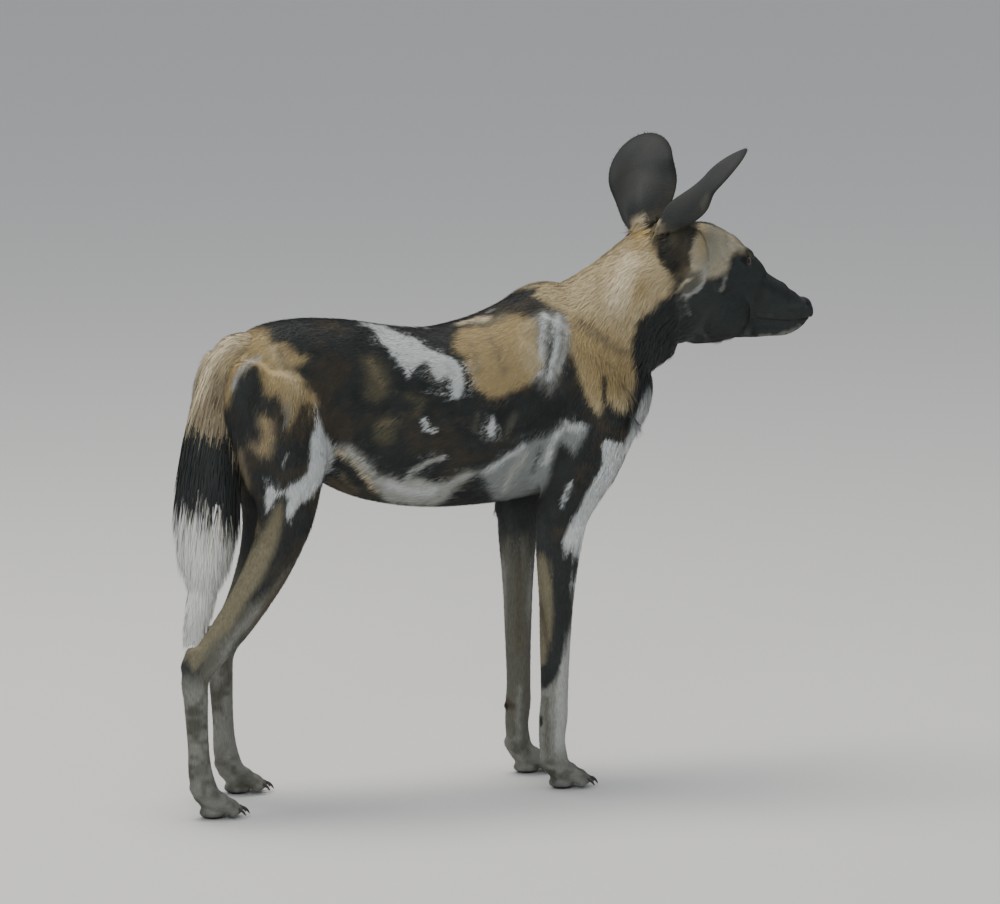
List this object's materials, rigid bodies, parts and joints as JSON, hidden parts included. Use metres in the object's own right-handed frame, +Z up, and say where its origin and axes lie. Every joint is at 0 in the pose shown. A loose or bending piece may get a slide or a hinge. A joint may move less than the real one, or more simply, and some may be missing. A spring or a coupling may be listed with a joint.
{
  "type": "african wild dog",
  "caption": "Standing African wild dog, still and life size, with large round ears, long thin legs and a bushy hanging tail.",
  "frame": {"origin": "centre of the animal's outline seen from above, on the floor under its soles", "axes": "+X towards the nose along the body, +Y to the animal's left, +Z up"},
  "size_m": [0.99, 0.2932, 0.8949],
  "materials": {
    "coat_tan": "short tan hair, matt",
    "coat_black": "short black hair, faint sheen",
    "coat_white": "long off-white hair, matt",
    "coat_grey": "very short slate-grey hair, matt",
    "eye_brown": "wet and glossy"
  },
  "bodies": {
    "root": {"torso": "coat_black", "neck": "coat_tan", "head": "coat_black", "ear_left": "coat_grey", "ear_right": "coat_grey", "eye_left": "eye_brown", "eye_right": "eye_brown", "foreleg_left": "coat_tan", "foreleg_right": "coat_tan", "hindleg_left": "coat_tan", "hindleg_right": "coat_tan", "forefoot_left": "coat_grey", "forefoot_right": "coat_grey", "hindfoot_left": "coat_grey", "hindfoot_right": "coat_grey", "tail": "coat_white"}
  },
  "joints": []
}
